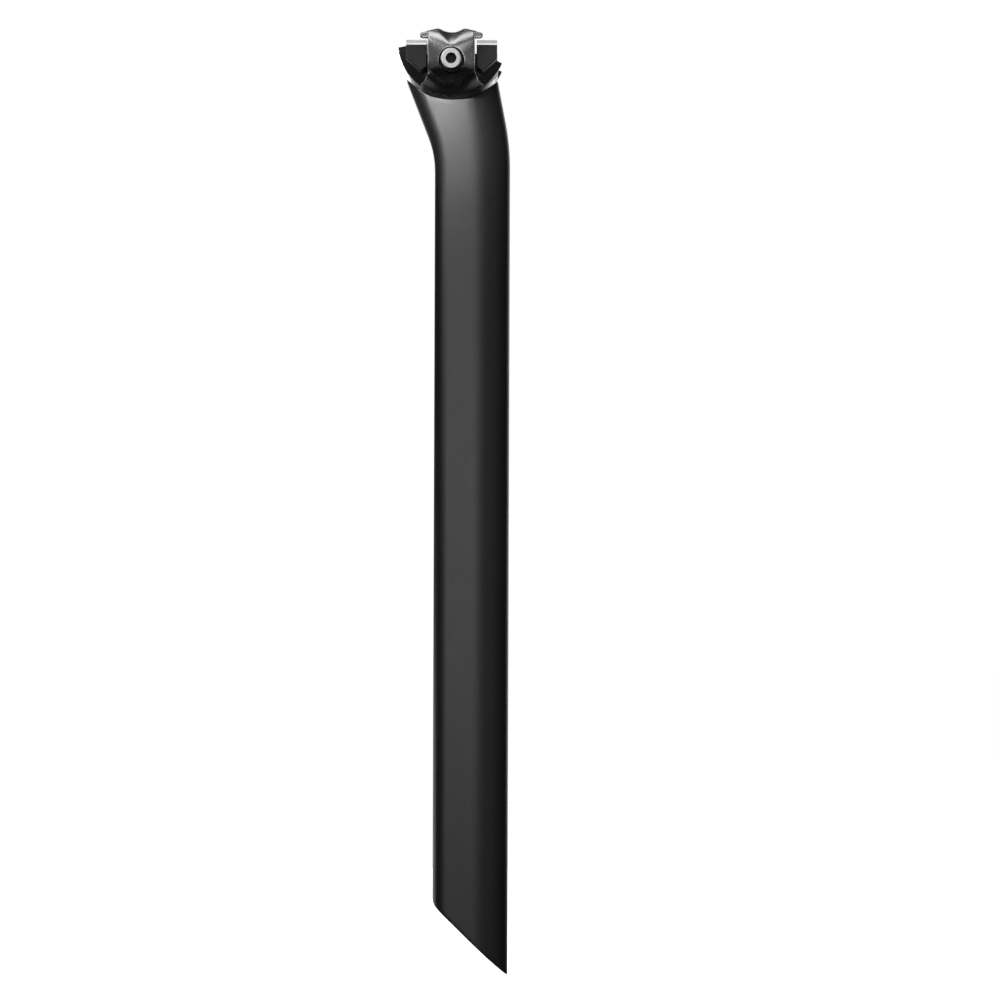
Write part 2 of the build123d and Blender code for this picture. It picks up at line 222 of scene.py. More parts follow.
class SEATPOST_PG_stage(bpy.types.PropertyGroup):
    """Camera, floor and lights."""

    camera_distance: length("Camera distance", "From the camera to the middle plane of the post", 1000.0)
    camera_height: length("Camera height", "Height of the camera above the foot", 204.0)
    camera_forward: length("Camera forward", "Camera ahead of the shaft's centre line", 12.23)
    camera_roll: angle("Camera roll", "Roll of the camera", -0.2)
    view_height: length("View height", "Height of the picture at the middle plane of the post", 430.0)
    floor_drop: length("Floor drop", "Floor below the foot", 160.0)
    floor_reach: length("Floor reach", "From the middle of the floor to its edges", 4000.0)
    dome_radius: length("Dome radius", "Radius of the white surround", 6000.0)
    surround: brightness("Surround", "Glow of the white floor and surround, which only the camera sees", 1.0)
    key: brightness("Key", "Soft box above the camera", 2.3)
    top: brightness("Top", "Soft box over the clamp", 2.8)
    front: brightness("Front", "Tall panel beside the camera", 2.0)
    side: brightness("Side", "Tall panel on the right, for the nose", 0.25)
    bounce: brightness("Bounce", "Light that the floor in front throws back", 0.1)
    glint: brightness("Glint", "Small box on the left for the ridge of the ear", 3.2)
    fill: brightness("Fill", "Dim panel low on the left for the side of the ear", 0.08)
    right: brightness("Right", "Panel on the right, behind the post", 1.0)
    left: brightness("Left", "Panel low on the left, behind the post", 1.2)
    back: brightness("Back", "White panel behind the post, for its bright rims", 0.7)
    crescent: brightness("Crescent", "Panel on the left that lights only the arc rail", 8.0)
    clamp: brightness("Clamp", "Panels at the front and the rear that light only the clamp", 2.0)
    shaft: brightness("Shaft", "Small near box on the upper left that lights only the post", 3.4)
    shaft_spread: angle("Shaft spread", "How widely the small near box shines", 34.0)
    room: brightness("Room", "Even light from all round", 0.01)


class Wire:
    """One output of a node. Arithmetic on it adds Math nodes to its tree."""

    def __init__(self, sheet, socket):
        self.sheet = sheet
        self.socket = socket

    def other(self, output):
        """Another output of the same node."""
        return Wire(self.sheet, self.socket.node.outputs[output])

    def math(self, operation, *values):
        return self.sheet.add("ShaderNodeMath", {"operation": operation}, dict(enumerate(values)))

    def __add__(self, value):
        return self.math("ADD", self, value)

    def __radd__(self, value):
        return self.math("ADD", value, self)

    def __sub__(self, value):
        return self.math("SUBTRACT", self, value)

    def __rsub__(self, value):
        return self.math("SUBTRACT", value, self)

    def __mul__(self, value):
        return self.math("MULTIPLY", self, value)

    def __rmul__(self, value):
        return self.math("MULTIPLY", value, self)

    def __truediv__(self, value):
        return self.math("DIVIDE", self, value)

    def __rtruediv__(self, value):
        return self.math("DIVIDE", value, self)

    def __neg__(self):
        return self.math("MULTIPLY", self, -1.0)

    def __abs__(self):
        return self.math("ABSOLUTE", self)

    def root(self):
        return self.math("SQRT", self)

    def sign(self):
        return self.math("SIGN", self)

    def fraction(self):
        return self.math("FRACT", self)

    def sine(self):
        return self.math("SINE", self)

    def cosine(self):
        return self.math("COSINE", self)

    def tangent(self):
        return self.math("TANGENT", self)

    def arctangent(self, base):
        """The angle whose tangent is this value over the base."""
        return self.math("ARCTAN2", self, base)

    def least(self, value):
        return self.math("MINIMUM", self, value)

    def most(self, value):
        return self.math("MAXIMUM", self, value)

    def within(self, low, high):
        return self.most(low).least(high)

    def ramp(self, start, end):
        """0 before start, 1 after end, straight between them."""
        return ((self - start) / (end - start)).within(0.0, 1.0)


def span(first, second):
    """Length of a vector from two of its parts."""
    return (first * first + second * second).root()


class NodeSheet:
    """A node tree that is being drawn, for a finish or for a shape."""

    def __init__(self, tree):
        self.tree = tree

    def add(self, kind, settings=None, sockets=None, output=0):
        """Adds a node with its settings and socket values or links, and gives one of its outputs."""
        node = self.tree.nodes.new(kind)
        for name, value in (settings or {}).items():
            setattr(node, name, value)
        for key, value in (sockets or {}).items():
            if isinstance(value, Wire):
                self.tree.links.new(value.socket, node.inputs[key])
            else:
                node.inputs[key].default_value = value
        if not node.outputs:
            return None
        return Wire(self, node.outputs[output])

    def axes(self, place):
        """The x, y and z of a place as wires."""
        split = self.add("ShaderNodeSeparateXYZ", sockets={0: place})
        return SimpleNamespace(x=split, y=split.other("Y"), z=split.other("Z"))


class ShapeTree(NodeSheet):
    """A Geometry Nodes tree with named inputs."""

    def __init__(self, name):
        super().__init__(bpy.data.node_groups.new(name, "GeometryNodeTree"))
        self.tree.interface.new_socket(name="Geometry", in_out="OUTPUT", socket_type="NodeSocketGeometry")
        self.values = {}

    def take(self, sizes):
        """Adds a named number input for each size of a property group, and gives the sizes as wires."""
        labels = {field: sizes.bl_rna.properties[field].name for field in type(sizes).__annotations__}
        for field, label in labels.items():
            socket = self.tree.interface.new_socket(name=label, in_out="INPUT", socket_type="NodeSocketFloat")
            socket.default_value = getattr(sizes, field)
            self.values[socket.identifier] = getattr(sizes, field)
        entry = self.add("NodeGroupInput")
        return SimpleNamespace(**{field: entry.other(label) for field, label in labels.items()})

    def grid(self, columns, rows):
        """A flat grid, with a wire that runs from 0 to 1 round its columns and one that counts its rows."""
        mesh = self.add(
            "GeometryNodeMeshGrid",
            sockets={"Size X": 1.0, "Size Y": 1.0, "Vertices X": columns + 1, "Vertices Y": rows + 1},
        )
        at = self.axes(self.add("GeometryNodeInputPosition"))
        return mesh, at.x + 0.5, (at.y + 0.5) * rows

    def bend(self, mesh, place, unrolled):
        """Moves a grid's points to x, y, z, keeps a UV map of it unrolled, and closes its seams."""
        seam_gap = 0.002 * MM
        place = self.add("ShaderNodeCombineXYZ", sockets=dict(zip("XYZ", place)))
        unrolled = self.add("ShaderNodeCombineXYZ", sockets=dict(zip("XY", unrolled)))
        mesh = self.add(
            "GeometryNodeStoreNamedAttribute",
            {"data_type": "FLOAT2", "domain": "CORNER"},
            {"Geometry": mesh, "Name": "UVMap", "Value": unrolled},
        )
        mesh = self.add("GeometryNodeSetPosition", sockets={"Geometry": mesh, "Position": place})
        mesh = self.add("GeometryNodeMergeByDistance", sockets={"Geometry": mesh, "Distance": seam_gap})
        return self.add("GeometryNodeSetShadeSmooth", sockets={"Geometry": mesh})

    def finish(self, mesh, material):
        """Ends the tree with a plain mesh of one material."""
        mesh = self.add("GeometryNodeRealizeInstances", sockets={"Geometry": mesh})
        mesh = self.add("GeometryNodeSetMaterial", sockets={"Geometry": mesh, "Material": material})
        self.add("NodeGroupOutput", sockets={"Geometry": mesh})

    def make(self, name):
        """Evaluates the tree once and gives a plain mesh object at the origin."""
        mesh = bpy.data.meshes.new(name)
        piece = bpy.data.objects.new(name, mesh)
        bpy.context.scene.collection.objects.link(piece)
        modifier = piece.modifiers.new("Shape", "NODES")
        modifier.node_group = self.tree
        for identifier, value in self.values.items():
            modifier[identifier] = value
        graph = bpy.context.evaluated_depsgraph_get()
        made = bpy.data.meshes.new_from_object(piece.evaluated_get(graph), depsgraph=graph)
        piece.modifiers.remove(modifier)
        piece.data = made
        made.name = name
        bpy.data.meshes.remove(mesh)
        if not made.polygons:
            raise RuntimeError(name + " came out empty")
        return piece


class Finish(NodeSheet):
    """A material with one Principled shader."""

    def __init__(self, name):
        self.material = bpy.data.materials.new(name)
        self.material.use_nodes = True
        super().__init__(self.material.node_tree)
        self.shader = self.tree.nodes["Principled BSDF"]
        self.place = self.add("ShaderNodeTexCoord", output="Object")

    def noise(self, scale, detail, stretch=None):
        """Noise from 0 to 1 on Object coordinates, about 1/scale metres across."""
        vector = self.place
        if stretch:
            vector = self.add("ShaderNodeMapping", sockets={"Vector": vector, "Scale": stretch})
        return self.add("ShaderNodeTexNoise", sockets={"Vector": vector, "Scale": scale, "Detail": detail})

    def mix(self, factor, first, second):
        """The first colour where the factor is 0, and the second where it is 1."""
        sockets = {"Factor": factor, "A": first, "B": second}
        return self.add("ShaderNodeMix", {"data_type": "RGBA"}, sockets, "Result")

    def from_axis(self, axis):
        """Distance from an axis that runs across the post."""
        at = self.axes(self.place)
        return span(at.x - axis.x, at.z - axis.z)

    def bump(self, height, distance, strength):
        """A normal that follows small heights."""
        sockets = {"Height": height, "Distance": distance, "Strength": strength}
        return self.add("ShaderNodeBump", sockets=sockets, output="Normal")

    def set(self, values):
        """Sets or links the shader's sockets, and gives the material."""
        for name, value in values.items():
            if isinstance(value, Wire):
                self.tree.links.new(value.socket, self.shader.inputs[name])
            else:
                self.shader.inputs[name].default_value = value
        return self.material


def darker(tone, share):
    """A colour, darkened to a share of itself."""
    return tuple(share * part for part in tone[:3]) + (1.0,)


def satin_carbon(finish):
    """Satin black lacquer with a fine fleck and the faint pull of the fibres under it."""
    coat = Finish("satin_carbon")
    fleck = coat.noise(2600.0, 3.0).ramp(0.42, 0.72)
    cloud = coat.noise(90.0, 3.0)
    fibre = coat.noise(500.0, 2.0, stretch=(1.0, 1.0, 0.03))
    return coat.set({
        "Base Color": coat.mix(fleck * 0.55 + fibre * 0.15, finish.lacquer, finish.lacquer_fleck),
        "Roughness": 0.36 + 0.08 * fleck + 0.05 * cloud,
        "Normal": coat.bump(fleck + 0.4 * fibre, 0.03 * MM, 0.35),
        "Specular IOR Level": 0.72,
    })


def black_alloy(finish):
    """Satin black anodising, worn off where the saddle rails sit."""
    coat = Finish("black_alloy")
    at = coat.axes(coat.place)
    grain = coat.noise(2200.0, 3.0)
    patch = coat.noise(160.0, 2.0)
    from_rail = span(abs(at.y) - SADDLE_RAIL_OFFSET, at.z - TILT_AXIS.z)
    worn_radius = SADDLE_RAIL_RADIUS + 0.02 * MM
    fade = 0.08 * MM
    bare = 1.0 - from_rail.ramp(worn_radius, worn_radius + fade)
    black = coat.mix(patch * 0.5, finish.black, finish.pale_black)
    return coat.set({
        "Base Color": coat.mix(bare, black, finish.bare),
        "Metallic": 0.55 + 0.45 * bare,
        "Roughness": 0.36 + 0.12 * grain + 0.05 * patch + 0.15 * bare,
        "Normal": coat.bump(grain, 0.02 * MM, 0.3),
    })


def rail_alloy(finish):
    """Black anodised dovetail on a rail whose two crescents are bare alloy, with their middles painted black
    as the shade under the ears' feet.
    """
    coat = Finish("rail_alloy")
    grain = coat.noise(2000.0, 3.0)
    fade = 0.08 * MM
    outer = coat.from_axis(TILT_AXIS).ramp(finish.crescent_radius, finish.crescent_radius + fade)
    # Painted shade: the crescents are black near the rail's middle, under the ears' feet, and fade to bare
    # alloy towards their ends
    from_middle = abs(coat.axes(coat.place).x - TILT_AXIS.x)
    ends = from_middle.ramp(finish.crescent_start, finish.crescent_full)
    bare = outer * ends
    return coat.set({
        "Base Color": coat.mix(bare, finish.black, finish.bare),
        "Metallic": 0.6 + 0.4 * bare,
        "Roughness": 0.34 + 0.12 * grain,
        "Normal": coat.bump(grain, 0.02 * MM, 0.25),
    })


def gunmetal_alloy(finish, recess_radius):
    """Polished gunmetal forging with fine polishing marks, painted black in the bolt's recess as the shade
    there.
    """
    coat = Finish("gunmetal_alloy")
    fade = 0.1 * MM
    # Painted shade: inside the bolt's recess the forging takes the black anodised colour and a higher
    # roughness
    polished = coat.from_axis(BOLT_AXIS).ramp(recess_radius, recess_radius + fade)
    marks = coat.noise(700.0, 1.0, stretch=(1.0, 1.0, 0.25))
    patch = coat.noise(120.0, 2.0)
    tone = coat.mix(patch, finish.gunmetal, darker(finish.gunmetal, 0.82))
    return coat.set({
        "Base Color": coat.mix(polished, finish.black, tone),
        "Metallic": 1.0,
        "Roughness": 0.52 - 0.3 * polished + 0.05 * marks + 0.04 * patch,
        "Normal": coat.bump(marks, 0.01 * MM, 0.02),
    })


def bolt_steel(finish):
    """Steel whose head's face is ground bright round its socket, with fine turned rings; the rest is
    near-black, which in the socket and on the head's side is painted shade.
    """
    coat = Finish("bolt_steel")
    reach = coat.from_axis(BOLT_AXIS)
    rings = (reach * 2.0 * math.pi / finish.ring_pitch).sine() * 0.5 + 0.5
    grain = coat.noise(1500.0, 2.0)
    ground_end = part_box("clamp_bolt")[0][1] + finish.ground_depth
    ring_fade = 0.1 * MM
    depth_fade = 0.2 * MM
    # Painted shade: outside the ground ring, the socket and the head's side take the near-black
    ring = reach.ramp(finish.ground_radius, finish.ground_radius + ring_fade)
    ground = (1.0 - coat.axes(coat.place).y.ramp(ground_end, ground_end + depth_fade)) * ring
    bright = coat.mix(grain, finish.steel, darker(finish.steel, 0.85))
    return coat.set({
        "Base Color": coat.mix(ground, finish.oxide, bright),
        "Metallic": 1.0,
        "Roughness": 0.34 + 0.1 * rings + 0.06 * grain,
        "Normal": coat.bump(rings, 0.006 * MM, 0.4),
    })


def dress(node, material):
    """Gives a CAD node its finish."""
    obj = frame["nodes"][node]
    obj.data.materials.clear()
    obj.data.materials.append(material)


def stand_in(piece, node, body):
    """Puts a finer mesh in the place of a CAD node."""
    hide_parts(node)
    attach(piece, body)


class LeaningEdge:
    """An edge of the post in side view: upright, then an arc, then leaning back."""

    def __init__(self, bend_height, radius, lean):
        self.start = bend_height - radius * (lean / 2.0).tangent()
        self.radius = radius
        self.reach = radius * lean.sine()
        self.fall = lean.tangent()

    def at(self, z):
        """How far back the edge has moved at a height, and its stretch along x."""
        along = (z - self.start).within(0.0, self.reach)
        drop = (self.radius * self.radius - along * along).root()
        back = self.radius - drop + (z - self.start - self.reach).most(0.0) * self.fall
        slope = along / drop
        return back, (1.0 + slope * slope).root()


def post_section(size, part, depth):
    """Half the D-section at a depth in the wall, from the middle of its back to the tip of its nose."""
    # Shares of the columns where the flat back, the corner, the side and the long flank end
    flat_end, corner_end, side_end, flank_end = 0.13, 0.3, 0.45, 0.76
    right_angle = math.pi / 2.0
    half_width = size.width / 2.0
    flat = part.ramp(0.0, flat_end)
    corner_turn = part.ramp(flat_end, corner_end) * right_angle
    corner = (size.rear_corner - depth).most(size.least_corner)
    tip_x = size.nose_length - size.nose_radius
    bulge = tip_x * tip_x + half_width * half_width - size.nose_radius * size.nose_radius
    flank_radius = bulge / (2.0 * (half_width - size.nose_radius))
    tip_turn = (flank_radius - half_width).arctangent(tip_x)
    flank_turn = part.ramp(side_end, flank_end) * (right_angle - tip_turn)
    tip_left = (1.0 - part.ramp(flank_end, 1.0)) * tip_turn
    flank = flank_radius - depth
    tip = size.nose_radius - depth
    half_y = (
        (half_width - depth - corner) * flat
        + corner * corner_turn.sine()
        - flank * (1.0 - flank_turn.cosine())
        - tip * (tip_turn.sine() - tip_left.sine())
    )
    return SimpleNamespace(
        corner=corner,
        corner_x=corner * (1.0 - corner_turn.cosine()),
        along_side=part.ramp(corner_end, side_end),
        nose_x=flank * flank_turn.sine() + tip * (tip_left.cosine() - tip_turn.cosine()),
        half_y=half_y,
    )


def slanted_foot(size, x):
    """Height of the slanted cut at the foot, rounded where it meets the back."""
    half_chord = size.chord / 2.0
    slant = size.foot_angle.tangent()
    quarter = (math.pi / 2.0 - size.foot_angle) / 2.0
    pull = size.foot_corner * quarter.tangent()
    near_back = x.least(pull * size.foot_angle.cosine() - half_chord)
    off_centre = near_back + half_chord - size.foot_corner
    arc = (size.foot_corner * size.foot_corner - off_centre * off_centre).most(0.0).root()
    rounding = size.chord * slant + pull - arc - (half_chord - near_back) * slant
    return (half_chord - x) * slant + rounding


def head_rim(size, place_along):
    """Height at which a line up the head meets the arc that is cut for the rail."""
    # Two heights in the head, where both its edges are straight
    low, high = 0.372, 0.382
    low_x = place_along(low)
    gain = (place_along(high) - low_x) / (high - low)
    offset = low_x - gain * low - TILT_AXIS.x
    centre = TILT_AXIS.z + size.rim_rise
    a = gain * gain + 1.0
    b = gain * offset - centre
    c = offset * offset + centre * centre - size.rim_radius * size.rim_radius
    return (-b - (b * b - a * c).most(0.0).root()) / a


def post_shape(sizes, material):
    """The post's whole skin from one grid: up the outside, over the rim, down the bore and round the foot."""
    shape = ShapeTree("post_shape")
    size = shape.take(sizes)
    columns, outer_rows, rim_rows, bore_rows = 176, 170, 12, 70
    bore_start = outer_rows + rim_rows
    bore_end = bore_start + bore_rows
    mesh, turn, row = shape.grid(columns, bore_end + rim_rows)
    inwards, outwards = [
        0.5 - 0.5 * (row.ramp(start, start + rim_rows) * math.pi).cosine() for start in (outer_rows, bore_end)
    ]
    depth = size.wall * (inwards - outwards)
    rise = row.ramp(0.0, outer_rows) - row.ramp(bore_start, bore_end)
    side = turn - 0.5
    section = post_section(size, 1.0 - abs(side) * 2.0, depth)
    half_chord = size.chord / 2.0
    back_edge = LeaningEdge(TILT_AXIS.z - size.rear_bend_drop, size.rear_bend_radius, size.rear_lean)
    front_edge = LeaningEdge(TILT_AXIS.z - size.front_bend_drop, size.front_bend_radius, size.front_lean)

    def place_along(z):
        """The point's x at a height."""
        back, back_stretch = back_edge.at(z)
        front, front_stretch = front_edge.at(z)
        rear = depth * back_stretch - half_chord - back
        shoulder = half_chord - front - size.nose_length * front_stretch
        straight = (shoulder - rear - section.corner * back_stretch) * section.along_side
        return rear + section.corner_x * back_stretch + straight + section.nose_x * front_stretch

    # The cut edges are rounded, so the skin falls short of the cuts there
    inward = depth.least(size.wall - depth) / size.soft_edge
    shy = 1.0 - inward.within(0.0, 1.0)
    shortfall = size.soft_edge * (1.0 - (1.0 - shy * shy).most(0.0).root())
    foot = slanted_foot(size, place_along(0.0)) + shortfall
    top = head_rim(size, place_along) - shortfall
    z = foot * (1.0 - rise) + top * rise
    # About the length round the section, so that the UV map isn't stretched
    girth = 0.1
    mesh = shape.bend(mesh, (place_along(z), section.half_y * side.sign(), z), (side * girth, z))
    shape.finish(mesh, material)
    return shape.make("post_shell")


def meet(first, second, blend):
    """Where two forms overlap, with the edge between them rounded. Forms are distances, negative inside."""
    near = (1.0 - abs(first - second) / blend).most(0.0)
    return first.most(second) + near * near * blend * 0.25


def join(first, second, blend):
    """Two forms together, with a fillet between them."""
    near = (1.0 - abs(first - second) / blend).most(0.0)
    return first.least(second) - near * near * blend * 0.25


def beyond(first, second, start, end):
    """Distance past the straight line from start to end, on its left side as the line is walked."""
    run = end[0] - start[0]
    climb = end[1] - start[1]
    return ((second - start[1]) * run - (first - start[0]) * climb) / span(run, climb)


def arc_radius(half_chord, rise):
    """Radius of an arc from half its chord and its rise over the chord."""
    return (half_chord * half_chord + rise * rise) / (2.0 * rise)


def ear_outline(size, at):
    """The body and the wings of an ear in side view, with the valley between their peaks."""
    wing_root = size.wing_half_span - size.wing_tip
    wing_high = 2.0 * size.wing_tip - size.wing_low
    slope = beyond(at.aside, at.up, (wing_root, wing_high), (size.peak_offset, size.peak))
    valley_radius = arc_radius(size.peak_offset, size.peak - size.valley)
    valley = valley_radius - span(at.fore, at.up - size.valley - valley_radius)
    crown = meet(-slope, valley, size.crown_blend)
    crease_end = (size.half_width, -size.crease_high)
    crease = beyond(at.aside, at.up, (size.crease_half_width, -size.crease_low), crease_end)
    body = (at.aside - size.half_width).most(-crease).most(crown)
    past_root = at.aside - wing_root
    tip = span(past_root.most(0.0), at.up + size.wing_low - size.wing_tip) - size.wing_tip
    wings = tip.least(past_root.most(-size.wing_low - at.up)).most(crown)
    return body, wings


def ear_chin(size, at):
    """The chin of an ear, which bulges from the boss down to the foot."""
    fall_in = size.boss_face - size.chin_face
    fall = size.crease_low - size.boss_low
    half = span(fall_in, fall) / 2.0
    radius = arc_radius(half, size.chin_crown)
    inset = (radius - size.chin_crown) / (2.0 * half)
    centre_out = (size.boss_face + size.chin_face) / 2.0 - inset * fall
    centre_up = inset * fall_in - (size.boss_low + size.crease_low) / 2.0
    return (span(at.out - centre_out, at.up - centre_up) - radius).most(at.out - size.boss_face)


def ear_outside(size, at):
    """The outer face of an ear, and the lip that its visor and its wings share."""
    visor = -beyond(at.out, at.up, (size.boss_face, -size.boss_high), (size.visor_face, 0.0))
    lip = -beyond(at.out, at.up, (size.visor_face, 0.0), (size.visor_lip, size.peak))
    soft_aside = span(at.fore, size.ridge_blend) - size.ridge_blend
    turn = size.facet_turn.tangent()
    lean = size.facet_lean.tangent()
    leaning = at.out - size.boss_face + turn * soft_aside - lean * (at.up + size.boss_high)
    facet = leaning / (1.0 + turn * turn + lean * lean).root()
    lower = meet(ear_chin(size, at), visor, size.ridge_blend)
    upper = meet(lip, facet, size.ridge_blend)
    return meet(lower, upper, size.ridge_blend), lip


def ear_inside(size, at):
    """The inner face of an ear: the rail seat's flank, and the web that leans in to the foot."""
    inner_face = size.boss_face - size.depth
    seat_end = (SADDLE_RAIL_OFFSET, -size.wing_low)
    seat_line = beyond(at.out, at.up, (inner_face, -SADDLE_RAIL_RADIUS), seat_end)
    web_line = beyond(at.out, at.up, (size.foot_inner, -size.crease_low), (inner_face, -size.boss_low))
    web = (inner_face - at.out).least(web_line)
    return (SADDLE_RAIL_OFFSET - at.out).least(seat_line.most(web))


def ear_scoop(size, at):
    """The scoop of an ear, a leaning cone that opens upwards."""
    # Brings the gap across the leaning cone close to a true distance
    slant = 1.3
    climb = (at.up + size.scoop_low).most(0.0)
    radius = climb + size.scoop_tip
    floor = at.out - size.boss_face + climb * size.scoop_lean.tangent()
    return (span(at.fore, floor - radius) - radius) / slant


def ear_foot(size, at):
    """The foot of an ear, which hooks under the dovetail: its side view, its back and the whole form."""
    corner = (size.foot_radius * size.foot_radius - size.foot_half_width * size.foot_half_width).root()
    flare = arc_radius(corner - size.foot_neck_low, size.foot_half_width - size.half_width)
    reach = span(at.fore, at.up)
    over_neck = at.up + size.foot_neck_low
    plan = (flare - span(at.aside - size.half_width - flare, over_neck)).most(over_neck)
    plan = meet(plan, reach - size.foot_radius, size.edge_blend)
    sole = beyond(at.out, at.up, (size.foot_reach, -size.foot_radius), (size.foot_face, -size.foot_face_low))
    front = meet(at.out - size.foot_face, -sole, size.sole_blend)
    hook_slope = (size.foot_inner - size.hook_inner) / (size.foot_radius - size.rail_radius)
    back = size.foot_inner - (reach - size.rail_radius).most(0.0) * hook_slope - at.out
    return plan, back, meet(meet(plan, front, size.edge_blend), back, size.hook_blend)


def fit_ear(form, size, at, side):
    """Adds the spacer round the bolt, and cuts the rail seat, the hole and the recess or the nut's pocket."""
    above_bolt = at.up + (TILT_AXIS.z - BOLT_AXIS.z)
    from_bolt = span(at.fore, above_bolt)
    inner_face = size.boss_face - size.depth
    spacer = (from_bolt - size.spacer_radius).most(size.spacer_end - at.out)
    spacer = spacer.most(at.out - inner_face - size.spacer_lap)
    form = join(form, spacer, size.spacer_blend)
    saddle_rail = span(at.out - SADDLE_RAIL_OFFSET, at.up) - SADDLE_RAIL_RADIUS
    form = meet(form, -saddle_rail, size.seat_blend)
    form = form.most(size.hole_radius - from_bolt)
    if side < 0:
        recess = (from_bolt - size.recess_radius).most(size.recess_seat - at.out)
        return meet(form, -recess, size.recess_blend)
    pocket = size.pocket_seat - at.out
    for step in range(3):
        tilt = math.pi / 3.0 * step + math.pi / 6.0
        across = at.fore * math.cos(tilt) + above_bolt * math.sin(tilt)
        pocket = pocket.most(abs(across) - size.pocket_flats / 2.0)
    return meet(form, -pocket, size.pocket_blend)


def ear_form(size, at, side):
    """One ear as a blend of its forms."""
    body, wings = ear_outline(size, at)
    outside, lip = ear_outside(size, at)
    shield = meet(body, outside, size.edge_blend)
    wings = meet(wings, (at.out - size.wing_face).most(lip), size.edge_blend)
    form = meet(join(shield, wings, size.edge_blend), ear_inside(size, at), size.edge_blend)
    form = meet(form, -ear_scoop(size, at), size.ridge_blend)

    # The fillet between body and foot stays inside the outline and clear of the dovetail
    plan, back, foot = ear_foot(size, at)
    outline = (at.aside - size.half_width).least(plan).least(wings)
    form = join(form, foot, size.foot_blend).most(back).most(outline)
    return fit_ear(form, size, at, side)


def ear_shape(sizes, name, side, material):
    """One ear, sampled on a fine grid. Side is -1 on the right and 1 on the left."""
    shape = ShapeTree(name + "_shape")
    size = shape.take(sizes)
    place = shape.axes(shape.add("GeometryNodeInputPosition"))
    fore = place.x - TILT_AXIS.x
    up = place.z - TILT_AXIS.z
    at = SimpleNamespace(fore=fore, aside=abs(fore), up=up, out=place.y * float(side))
    form = ear_form(size, at, side)

    # The density falls from 1 to 0 within some grains on both sides of the skin
    band = 3.0
    skin = 0.5
    pad = band * sizes.grain
    low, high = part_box(name)
    steps = [int((high[i] - low[i] + 2.0 * pad) / sizes.grain) for i in range(3)]
    volume = shape.add(
        "GeometryNodeVolumeCube",
        sockets={
            "Density": skin - form / (2.0 * band * size.grain),
            "Min": tuple(corner - pad for corner in low),
            "Max": tuple(corner + pad for corner in high),
            "Resolution X": steps[0],
            "Resolution Y": steps[1],
            "Resolution Z": steps[2],
        },
    )
    sockets = {"Volume": volume, "Threshold": skin}
    mesh = shape.add("GeometryNodeVolumeToMesh", {"resolution_mode": "GRID"}, sockets)
    rounds = 6
    evened = shape.add(
        "GeometryNodeBlurAttribute",
        {"data_type": "FLOAT_VECTOR"},
        {"Value": shape.add("GeometryNodeInputPosition"), "Iterations": rounds},
    )
    mesh = shape.add("GeometryNodeSetPosition", sockets={"Geometry": mesh, "Position": evened})
    mesh = shape.add("GeometryNodeSetShadeSmooth", sockets={"Geometry": mesh})
    shape.finish(mesh, material)
    return shape.make(name + "_forging")


def bolt_shape(sizes, material):
    """The bolt as one turned grid: socket, head, shank, thread and tip."""
    shape = ShapeTree("bolt_shape")
    size = shape.take(sizes)
    face, tip = (corner[1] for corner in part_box("clamp_bolt"))
    under = face + size.head_height
    thread_start = tip - size.thread_length
    thread_end = tip - size.tip_bevel
    columns, rows_a_pitch, lobes = 72, 8, 6.0
    thread_rows = rows_a_pitch * round(sizes.thread_length / sizes.thread_pitch)
    # Rows of the grid in each leg of the profile, from the socket's floor to the tip
    row_counts = (3, 4, 1, 4, 1, 1, 4, 3, 12, thread_rows, 2, 3)
    mesh, turn, row = shape.grid(columns, sum(row_counts))
    round_angle = turn * (-2.0 * math.pi)
    socket = size.socket_radius + size.socket_lobe * (round_angle * lobes).cosine()
    # From a tangent of the rounded edge to the middle of its quarter circle
    edge_middle = 0.29 * size.head_edge

    # The radius, and the place along the bolt, that each leg of the profile reaches
    legs = (
        (socket, face + size.socket_depth),
        (socket, face + size.socket_edge),
        (socket + size.socket_edge, face),
        (size.head_radius - size.head_edge, face),
        (size.head_radius - edge_middle, face + edge_middle),
        (size.head_radius, face + size.head_edge),
        (size.head_radius, under),
        (size.shank_radius, under),
        (size.shank_radius, thread_start),
        (size.shank_radius, thread_end),
        (size.shank_radius - size.tip_bevel, tip),
        (0.0, tip),
    )
    radius, along = 0.0, face + size.socket_depth
    last_radius, last_along, start = radius, along, 0
    for rows, (leg_radius, leg_along) in zip(row_counts, legs):
        step = row.ramp(start, start + rows)
        radius = radius + (leg_radius - last_radius) * step
        along = along + (leg_along - last_along) * step
        last_radius, last_along, start = leg_radius, leg_along, start + rows

    # The thread's groove runs round once in each pitch and fades out at both ends
    flank_slope = 2.4
    phase = ((along - thread_start) / size.thread_pitch - turn).fraction()
    groove = ((0.5 - abs(phase - 0.5)) * flank_slope).within(0.0, 1.0)
    run_in = along.ramp(thread_start, thread_start + size.thread_pitch)
    run_out = 1.0 - along.ramp(thread_end - size.thread_pitch, thread_end)
    radius = radius - size.thread_depth * groove * run_in * run_out

    x = radius * round_angle.cosine() + BOLT_AXIS.x
    z = radius * round_angle.sine() + BOLT_AXIS.z
    mesh = shape.bend(mesh, (x, along, z), (turn, along))
    smoothest = math.radians(35.0)
    sharp = shape.add(
        "FunctionNodeCompare",
        {"data_type": "FLOAT", "operation": "GREATER_THAN"},
        {"A": shape.add("GeometryNodeInputMeshEdgeAngle"), "B": smoothest},
    )
    mesh = shape.add(
        "GeometryNodeStoreNamedAttribute",
        {"data_type": "BOOLEAN", "domain": "EDGE"},
        {"Geometry": mesh, "Name": "sharp_edge", "Value": sharp},
    )
    shape.finish(mesh, material)
    return shape.make("socket_bolt")


class SEATPOST_OT_post(bpy.types.Operator):
    """Makes the post's skin and finishes the arc rail that is bonded into it"""

    bl_idname = "seatpost.post"
    bl_label = "Post and arc rail"

    def execute(self, context):
        scene = context.scene
        shell = post_shape(scene.seatpost_post, satin_carbon(scene.seatpost_finish))
        stand_in(shell, "post", "post")
        dress("arc_rail", rail_alloy(scene.seatpost_finish))
        return {"FINISHED"}


